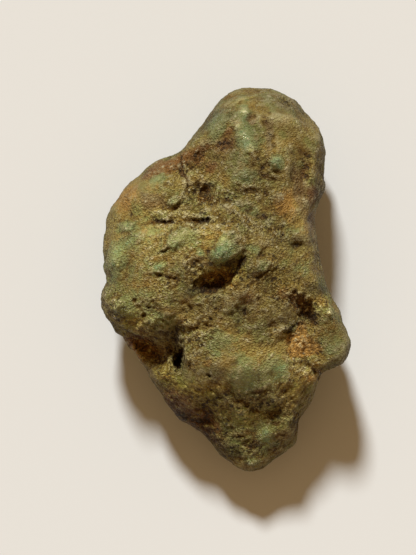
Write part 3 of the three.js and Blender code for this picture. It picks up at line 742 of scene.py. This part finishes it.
def roughness(points, places, upward):
    share, across, seed = ROUGH_NOISE
    patchy = share * soft_noise(points, across, seed)
    return np.clip(ROUGH_MEAN + upward * sum_of_spots(places, ROUGH) + patchy, *ROUGH_RANGE)


def tones_and_painted_light(places, upward, level, rough):
    """What the colour's brightness is multiplied by: the placed tones, partly painted highlights and
    painted shade, and paler rough skin. A painted shade makes the flanks duller than what lies level.
    """
    tone_and_painted_light = 1 + TONE_SHARE * upward * sum_of_spots(places, TONE_AND_PAINTED_LIGHT_PLACES)
    tone_and_painted_light *= 1 + ROUGH_PALES * (rough - ROUGH_MEAN)
    return tone_and_painted_light * (1 - FLANK_PAINTED_SHADE * sum(step(level, start, end) for start, end in FLANK_LEVELS))


def waxiness(points, masks):
    share, across, seed = WAX_NOISE
    green = masks["green"] - RUST_UNWAXES * masks["rust"] - masks["dark"]
    return step(green + soft_noise(points, across, seed) * share, *WAX_RANGE)


def all_masks(points, upward, level):
    places = ragged_places(points)
    masks = stains(points, places, upward)
    masks["rough"] = roughness(points, places, upward)
    # The tone, partly painted light: painted highlights and painted shade.
    masks["tone_and_painted_light"] = tones_and_painted_light(places, upward, level, masks["rough"])
    masks["glint"] = upward * glints(points)
    masks["wax"] = waxiness(points, masks)
    # The painted warm shade: warm light in shadow, placed on the upper face and spread over the flanks
    # and the underside, less where the stone is waxy.
    painted_warm_shade = upward * sum_of_spots(places, WARM_PAINTED_SHADE_PLACES) + FLANK_PAINTED_WARM_SHADE * (1 - upward)
    masks["painted_warm_shade"] = np.clip(painted_warm_shade, 0, 1) * (1 - WAX_COOLS * masks["wax"])
    return masks


def hollows(points, normals, edges):
    """How deep below its surroundings each point lies, in millimetres, near by and further off."""
    depths = []
    for rounds in HOLLOW_ROUNDS:
        mean = np.stack([smoothed(points[:, axis], edges, rounds) for axis in range(3)], 1)
        depths.append(((mean - points) * normals).sum(1))
    return depths


# --- Shape --------------------------------------------------------------------------------------
def evened_out(mesh, edges):
    """Evens out the upper face, which the placed relief then shapes, and gives its points."""
    base = points_of(mesh)
    upward = step(normals_of(mesh)[:, 2], *RELIEF_FACING)
    base[:, 2] += upward * (smoothed(base[:, 2], edges, EVEN_ROUNDS) - base[:, 2])
    move_points(mesh, base)
    return base


def press_relief(points, normals):
    """Moves the upper face up and down by the placed relief, and the flank's swellings outwards."""
    facing = step(normals[:, 2], *RELIEF_FACING)
    places = ragged_places(points)
    height = sum(tall * spot(places, *shape, edge) for *shape, tall, edge in RELIEF)
    share, across, seed = RELIEF_NOISE
    height *= 1 + share * soft_noise(points, across, seed)
    height += GLINT_HEIGHT * glints(points)
    moved = points.copy()
    moved[:, 2] += facing * RELIEF_SHARE * height
    for x, y, z, size, tall in FLANK_RELIEF:
        apart = np.minimum(np.linalg.norm(points - (x, y, z), axis=1) / (SPOT_REACH * size), 1)
        moved += (tall * (1 - apart**2) ** 2)[:, None] * normals
    return moved


def random_lump(rng, reach):
    """A way out from the stone's middle, and the radius and height of the lump or pit there."""
    way = rng.normal(size=3)
    way *= reach / np.linalg.norm(way)
    radius = LUMP_SMALLEST + LUMP_SPREAD * rng.random() ** LUMP_BIAS
    if rng.random() < RAISED_SHARE:
        return way, radius, radius * rng.uniform(*RAISED_HEIGHT)
    radius *= PIT_SIZE
    return way, radius, -radius * rng.uniform(*PIT_DEPTH)


def tree_of(places):
    tree = KDTree(len(places))
    for index, place in enumerate(places):
        tree.insert(place, index)
    tree.balance()
    return tree


def strewn_lumps(points, faces):
    """The height of small lumps and pits strewn by a fixed seed, drawn out along the grain."""
    low, high = points.min(0), points.max(0)
    middle = (low + high) / 2
    skin = BVHTree.FromPolygons(points.tolist(), faces)
    tree = tree_of(along_grain(points, LUMP_STRETCH))
    rng = np.random.default_rng(LUMP_SEED)
    height = np.zeros(len(points))
    for _ in range(LUMPS):
        way, radius, tall = random_lump(rng, high - low)
        hit = skin.ray_cast(Vector(middle + way), Vector(-way))[0]
        if hit is None:
            continue
        found = tree.find_range(along_grain(np.array([hit]), LUMP_STRETCH)[0], radius)
        index = [entry[1] for entry in found]
        apart = np.array([entry[2] for entry in found]) / radius
        height[index] += tall * (1 - apart**2) ** 2
    return height


def small_pits(points, warp):
    across, seed, depth = SMALL_PITS
    pit = cells(points + 2 * warp, across, seed)
    pitted = step(soft_noise(points, *PITTED_PATCHES), *PITTED_RANGE)
    return pitted * depth * step(pit, *PIT_RIM)


def grain(points, coarseness, upward):
    """The height of mounds, grains and small pits at each point, in millimetres."""
    drawn_out = points * (1 - upward[:, None]) + along_grain(points, GRAIN_STRETCH) * upward[:, None]
    across, seed, shift = WARP
    warp = shift * soft_noise(points, across, seed)[:, None]
    across, seed, tall = MOUNDS
    height = tall * (np.abs(soft_noise(points, across, seed)) * 2 - 0.5)
    for across, seed, tall in (COARSE_GRAINS, FINE_GRAINS):
        height += coarseness * tall * (CELL_LEVEL - cells(drawn_out + warp, across, seed))
    across, seed, tall = SPECKS
    height += coarseness * tall * soft_noise(points, across, seed)
    return height - coarseness * small_pits(points, warp)


def roughened(mesh, points, upward, masks):
    """The points moved along their normals by lumps and grain, but not below the floor."""
    normals = normals_of(mesh)
    resting = (normals[:, 2] < 0) & (points[:, 2] < REST_REACH)
    fade = np.where(resting, step(points[:, 2], 0.0, REST_HEIGHT), 1.0)
    faces = [tuple(face.vertices) for face in mesh.polygons]
    unwaxed = 1 - WAX_SMOOTHS * masks["wax"]
    level = STEEP_LUMPS + (1 - STEEP_LUMPS) * np.abs(normals[:, 2])
    lumpy = unwaxed * level * (1 - TOP_SMOOTHS * upward)
    least, more = ROUGH_LUMPS
    lumpy *= np.clip(least + more * masks["rough"], *LUMPS_RANGE)
    height = grain(points, unwaxed * masks["rough"], upward) + lumpy * strewn_lumps(points, faces)
    moved = points + normals * (fade * height)[:, None]
    moved[:, 2] = np.maximum(moved[:, 2], 0.0)
    return moved


def add_attribute(mesh, name, values):
    layer = mesh.attributes.new(name, "FLOAT", "POINT")
    layer.data.foreach_set("value", values.astype(np.float32))


def add_bake_map(mesh, points, middle, half_sizes):
    """Two charts of equal area, the upper half beside the lower half, for the exported textures."""
    flat = np.empty(len(mesh.loops), int)
    mesh.loops.foreach_get("vertex_index", flat)
    centres = np.empty(len(mesh.polygons) * 3)
    mesh.polygons.foreach_get("center", centres)
    below = centres.reshape(-1, 3)[:, 2] / MM < middle[2]
    sizes = np.empty(len(mesh.polygons), int)
    mesh.polygons.foreach_get("loop_total", sizes)
    loop_below = np.repeat(below, sizes)
    ways = (points - middle) / half_sizes
    ways /= np.linalg.norm(ways, axis=1)[:, None]
    ways = ways[flat]
    tall = np.where(loop_below, -ways[:, 2], ways[:, 2])
    reach = np.sqrt(np.maximum(1 - tall, 0)) / np.maximum(np.hypot(ways[:, 0], ways[:, 1]), 1e-6)
    spread = ways[:, :2] * reach[:, None]  # a radius of 1 at the widest line
    room = 1.25  # the charts' half-width, with space round them
    uv = spread / (2 * room) * (0.5, 1.0) + (0.25, 0.5)
    uv[loop_below, 0] = 1 - uv[loop_below, 0]
    layer = mesh.uv_layers.new(name="OFBake")
    layer.data.foreach_set("uv", uv.astype(np.float32).ravel())


def build_stone(node):
    stone = fine_skin(node)
    mesh = stone.data
    edges = edges_of(mesh)
    base = evened_out(mesh, edges)
    base_normals = normals_of(mesh)
    upward = step(base_normals[:, 2], *STAIN_FACING)
    masks = all_masks(base, upward, base_normals[:, 2])

    pressed = press_relief(base, base_normals)
    move_points(mesh, pressed)
    points = roughened(mesh, pressed, upward, masks)
    move_points(mesh, points)

    # Crests, gaps and hollows, which the colour makes paler or browner: partly dust and soil, partly
    # painted light and shade.
    near, far = hollows(points, normals_of(mesh), edges)
    masks["crest"] = step(-near, *CREST_RANGE)
    masks["gap"] = step(near, *GAP_RANGE)
    masks["hollow"] = step(far, *HOLLOW_RANGE)
    for name, values in masks.items():
        add_attribute(mesh, name, values)
    low, high = base.min(0), base.max(0)
    middle = np.array([(low[0] + high[0]) / 2, (low[1] + high[1]) / 2, WIDEST_HEIGHT])
    add_bake_map(mesh, base, middle, (high - low) / 2)
    mesh.polygons.foreach_set("use_smooth", np.ones(len(mesh.polygons), bool))
    return stone


# --- Material -----------------------------------------------------------------------------------
def linear(value):
    """A screen value from 0 to 255 as the linear one that shaders take."""
    return ((value / 255 + 0.055) / 1.055) ** 2.4 if value > 10 else value / 255 / 12.92


def srgb(red, green, blue):
    return (linear(red), linear(green), linear(blue), 1.0)


KHAKI = srgb(131, 111, 46)
STRAW = srgb(174, 157, 82)
OLIVE = srgb(136, 142, 74)
TAN = srgb(174, 140, 62)
# The crests' pale is partly dust, partly painted light; the browns of gaps and hollows are partly soil,
# partly painted shade, and the dark brown partly painted shade.
DUST_AND_PAINTED_LIGHT = srgb(202, 194, 146)
GAP_BROWN = srgb(82, 56, 8)
HOLLOW_BROWN = srgb(104, 60, 12)
DARK_BROWN = srgb(44, 24, 4)
DARK_GRAIN = srgb(76, 52, 4)
PALE_GRAIN = srgb(204, 197, 160)
DARK_FLECK = srgb(44, 28, 6)
PALE_FLECK = srgb(210, 202, 158)
# The tint of the painted warm shade:
PAINTED_WARM_SHADE_TINT = srgb(251, 243, 174)
# In the order in which they are laid on: mask, start, end, most, colour.
STAIN_LAYERS = [
    ("green", 0.2, 0.7, 0.75, srgb(128, 140, 84)),
    ("green", 0.8, 1.3, 0.65, srgb(92, 136, 94)),
    ("ochre", 0.35, 0.8, 0.8, srgb(186, 140, 64)),
    ("ochre", 0.9, 1.3, 0.7, srgb(210, 162, 78)),
    # The rust layer, partly painted warm shade:
    ("rust", 0.35, 0.8, 0.75, srgb(136, 84, 34)),
    ("grey", 0.35, 0.8, 0.65, srgb(124, 98, 62)),
]
# Noise: mm across, detail, roughness.
PATCHES = (1.1, 4.0, 0.65)
SAND = (0.3, 3.0, 0.75)
GRIT = (0.17, 2.0, 0.6)
HUES = (2.2, 4.0, 0.6)
GRIT_CELL = 0.3  # mm across
SMALL_FLECK = 0.2  # mm across
LARGE_FLECK = 0.38
PALE_FLECK_SIZE = 0.27
BUMP_HEIGHT = 0.46  # mm
SHEEN = 0.35


class Graph:
    """Short ways to add and join shader nodes."""

    def __init__(self, material):
        material.use_nodes = True
        self.tree = material.node_tree
        self.shader = self.tree.nodes["Principled BSDF"]

    def put(self, socket, value):
        if isinstance(value, bpy.types.NodeSocket):
            self.tree.links.new(value, socket)
        else:
            socket.default_value = value

    def node(self, kind, inputs=None, **settings):
        made = self.tree.nodes.new(kind)
        for key, value in settings.items():
            setattr(made, key, value)
        for key, value in (inputs or {}).items():
            self.put(made.inputs[key], value)
        return made

    def mask(self, name):
        return self.node("ShaderNodeAttribute", attribute_name=name).outputs["Fac"]

    def math(self, operation, *values):
        made = self.node("ShaderNodeMath", operation=operation)
        for socket, value in zip(made.inputs, values):
            self.put(socket, value)
        return made.outputs[0]

    def plus(self, first, second):
        return self.math("ADD", first, second)

    def times(self, first, second):
        return self.math("MULTIPLY", first, second)

    def ramp(self, value, start, end, low=0.0, high=1.0):
        inputs = {"Value": value, "From Min": start, "From Max": end, "To Min": low, "To Max": high}
        return self.node("ShaderNodeMapRange", inputs, interpolation_type="SMOOTHSTEP").outputs["Result"]

    def mix(self, share, first, second, blend="MIX"):
        made = self.node("ShaderNodeMix", data_type="RGBA", blend_type=blend)
        self.put(made.inputs["Factor"], share)
        self.put(made.inputs[6], first)
        self.put(made.inputs[7], second)
        return made.outputs[2]

    def noise(self, where, across, detail, roughness):
        inputs = {"Vector": where, "Scale": 1 / across, "Detail": detail, "Roughness": roughness}
        return self.node("ShaderNodeTexNoise", inputs).outputs["Fac"]

    def cells(self, where, across):
        inputs = {"Vector": where, "Scale": 1 / across}
        return self.node("ShaderNodeTexVoronoi", inputs).outputs["Distance"]

    def flecks(self, where, across, share):
        """1 on a share of many small cells picked at random, 0 between them."""
        cell = self.node("ShaderNodeTexVoronoi", {"Vector": where, "Scale": 1 / across}).outputs["Color"]
        luck = self.node("ShaderNodeSeparateColor", {"Color": cell}).outputs["Red"]
        return self.ramp(self.math("SUBTRACT", share, luck), 0.0, 0.05)


class StoneGraph(Graph):
    """The stone's shader. Its noise is in millimetres and shared by colour, gloss and bumps."""

    def __init__(self, material):
        super().__init__(material)
        place = self.node("ShaderNodeTexCoord").outputs["Object"]
        scaled = self.node("ShaderNodeVectorMath", {0: place, 1: (1 / MM,) * 3}, operation="MULTIPLY")
        self.where = scaled.outputs[0]
        self.patchy = self.noise(self.where, *PATCHES)
        self.sandy = self.noise(self.where, *SAND)
        grains = self.times(self.cells(self.where, GRIT_CELL), 0.7)
        self.grit = self.math("SUBTRACT", self.noise(self.where, *GRIT), grains)
        large = self.math("MULTIPLY_ADD", self.patchy, 1.3, -0.65)
        small = self.math("MULTIPLY_ADD", self.sandy, 0.8, -0.4)
        self.ragged = self.plus(large, small)
        unwaxed = self.ramp(self.mask("wax"), 0.1, 0.9, 1.0, 0.65)
        self.bare = self.times(self.mask("rough"), unwaxed)
        self.dark_flecks = self.dark_spots()
        polish = self.ramp(self.mask("glint"), 0.1, 0.5)
        self.unpolished = self.ramp(polish, 0.0, 1.0, 1.0, 0.3)

    def stain(self, name, start, end, most):
        """How strongly a stain shows, with a ragged edge."""
        return self.ramp(self.plus(self.mask(name), self.ragged), start, end, 0.0, most)

    def dark_spots(self):
        """Flecks of two sizes, most of them in dark stains and hollows."""
        broken = self.plus(self.stain("dark", 0.3, 1.2, 0.45), self.times(self.mask("hollow"), 0.25))
        share = self.plus(self.ramp(self.bare, 0.5, 1.8, 0.0, 0.09), broken)
        small = self.flecks(self.where, SMALL_FLECK, share)
        large = self.flecks(self.where, LARGE_FLECK, share)
        return self.math("MAXIMUM", small, large)

    def ground(self):
        """Khaki and straw in small patches, olive and tan in larger ones."""
        calm = self.ramp(self.mask("rough"), 0.3, 1.1, 0.4, 1.0)
        mottled = self.math("SUBTRACT", self.ramp(self.patchy, 0.35, 0.65), 0.5)
        mottled = self.math("MULTIPLY_ADD", mottled, calm, 0.5)
        hue = self.noise(self.where, *HUES)
        colour = self.mix(mottled, KHAKI, STRAW)
        colour = self.mix(self.ramp(hue, 0.50, 0.62, 0.0, 0.65), colour, OLIVE)
        return self.mix(self.ramp(hue, 0.48, 0.36, 0.0, 0.45), colour, TAN)

    def stained(self, colour):
        for name, start, end, most, tint in STAIN_LAYERS:
            colour = self.mix(self.stain(name, start, end, most), colour, tint)
        return colour

    def weathered_and_painted_light(self, colour):
        """Paler on the crests, browner in the gaps and hollows and dark in the dark stains: partly dust
        and soil, partly painted light on the crests and painted shade in the gaps, hollows and pits.
        """
        pale_dust_and_painted_light = self.times(self.mask("crest"), self.ramp(self.mask("wax"), 0.0, 0.8, 0.5, 0.2))
        colour = self.mix(pale_dust_and_painted_light, colour, DUST_AND_PAINTED_LIGHT)
        colour = self.mix(self.times(self.mask("gap"), 0.7), colour, GAP_BROWN)
        colour = self.mix(self.times(self.mask("hollow"), 0.5), colour, HOLLOW_BROWN)
        return self.mix(self.stain("dark", 0.4, 1.4, 0.65), colour, DARK_BROWN)

    def grained(self, colour):
        dark = self.times(self.ramp(self.grit, 0.16, 0.0, 0.0, 0.35), self.bare)
        colour = self.mix(dark, colour, DARK_GRAIN)
        pale = self.times(self.ramp(self.grit, 0.32, 0.5, 0.0, 0.45), self.bare)
        return self.mix(pale, colour, PALE_GRAIN)

    def flecked(self, colour):
        colour = self.mix(self.times(self.dark_flecks, 0.75), colour, DARK_FLECK)
        crested = self.math("MULTIPLY_ADD", self.mask("crest"), 0.14, 0.02)
        pale = self.flecks(self.where, PALE_FLECK_SIZE, self.times(self.bare, crested))
        return self.mix(self.times(pale, 0.6), colour, PALE_FLECK)

    def toned(self, colour):
        # The tint of the painted warm shade, which stands in for warm light in shadow.
        colour = self.mix(self.mask("painted_warm_shade"), colour, PAINTED_WARM_SHADE_TINT, "MULTIPLY")
        # Then scaled by the tone, which holds painted highlights and painted shade, and darkens the
        # flanks as a painted shade.
        inputs = {0: colour, "Scale": self.mask("tone_and_painted_light")}
        return self.node("ShaderNodeVectorMath", inputs, operation="SCALE").outputs[0]

    def dullness(self):
        dull = self.ramp(self.mask("wax"), 0.1, 0.9, 0.60, 0.28)
        dull = self.plus(dull, self.times(self.ragged, 0.15))
        return self.times(dull, self.unpolished)

    def bumps(self):
        height = self.plus(self.grit, self.times(self.sandy, 1.2))
        height = self.math("SUBTRACT", height, self.times(self.dark_flecks, 0.3))
        height = self.times(height, self.mask("rough"))
        height = self.times(height, self.ramp(self.mask("wax"), 0.0, 0.9, 1.0, 0.45))
        height = self.times(height, self.unpolished)
        inputs = {"Height": height, "Distance": BUMP_HEIGHT * MM}
        return self.node("ShaderNodeBump", inputs).outputs["Normal"]


def stone_material():
    material = bpy.data.materials.new("rough_turquoise")
    graph = StoneGraph(material)
    colour = graph.weathered_and_painted_light(graph.stained(graph.ground()))
    colour = graph.toned(graph.flecked(graph.grained(colour)))
    graph.put(graph.shader.inputs["Base Color"], colour)
    graph.put(graph.shader.inputs["Specular IOR Level"], SHEEN)
    graph.put(graph.shader.inputs["Roughness"], graph.dullness())
    graph.put(graph.shader.inputs["Normal"], graph.bumps())
    return material


# --- Floor, light and camera --------------------------------------------------------------------
def add_floor():
    bpy.ops.mesh.primitive_plane_add(size=FLOOR_SIZE)
    floor = bpy.context.object
    floor.name = "floor"
    material = bpy.data.materials.new("pale_floor")
    shader = Graph(material).shader
    shader.inputs["Base Color"].default_value = (*FLOOR_COLOUR, 1)
    shader.inputs["Roughness"].default_value = FLOOR_ROUGHNESS
    floor.data.materials.append(material)


def add_light():
    key = bpy.data.lights.new("key", "SUN")
    key.energy = KEY_STRENGTH
    key.angle = math.radians(KEY_ANGLE)
    lamp = bpy.data.objects.new("key", key)
    lamp.rotation_euler = Vector(KEY_FROM).to_track_quat("Z", "Y").to_euler()
    bpy.context.scene.collection.objects.link(lamp)
    world = bpy.data.worlds.new("fill")
    world.use_nodes = True
    background = world.node_tree.nodes["Background"]
    background.inputs["Color"].default_value = (*FILL_COLOUR, 1)
    background.inputs["Strength"].default_value = FILL_STRENGTH
    bpy.context.scene.world = world
    bpy.context.scene.view_settings.view_transform = "Standard"


def add_camera():
    """Looks straight down, with the picture's up along +Y."""
    lens = bpy.data.cameras.new("camera")
    lens.sensor_fit = "VERTICAL"
    lens.sensor_height = SENSOR_HEIGHT
    lens.lens = SENSOR_HEIGHT * CAMERA_DISTANCE / (PHOTO_HEIGHT / PIXELS_PER_MM)
    camera = bpy.data.objects.new("camera", lens)
    x = (PHOTO_WIDTH / 2 - STONE_MIDDLE_PIXEL[0]) / PIXELS_PER_MM
    y = (STONE_MIDDLE_PIXEL[1] - PHOTO_HEIGHT / 2) / PIXELS_PER_MM
    camera.location = Vector((x, y, WIDEST_HEIGHT + CAMERA_DISTANCE)) * MM
    bpy.context.scene.collection.objects.link(camera)
    bpy.context.scene.camera = camera


# --- Scene --------------------------------------------------------------------------------------
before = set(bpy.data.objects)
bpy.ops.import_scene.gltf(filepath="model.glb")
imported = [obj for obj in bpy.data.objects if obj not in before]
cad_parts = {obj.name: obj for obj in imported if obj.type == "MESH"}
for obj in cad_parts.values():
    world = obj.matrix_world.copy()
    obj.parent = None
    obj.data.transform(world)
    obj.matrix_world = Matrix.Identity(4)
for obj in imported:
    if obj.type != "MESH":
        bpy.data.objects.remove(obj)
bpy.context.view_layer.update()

stone = build_stone(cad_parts["nugget"])
stone.data.materials.append(stone_material())
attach(stone, "root")
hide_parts("nugget")

add_floor()
add_light()
add_camera()
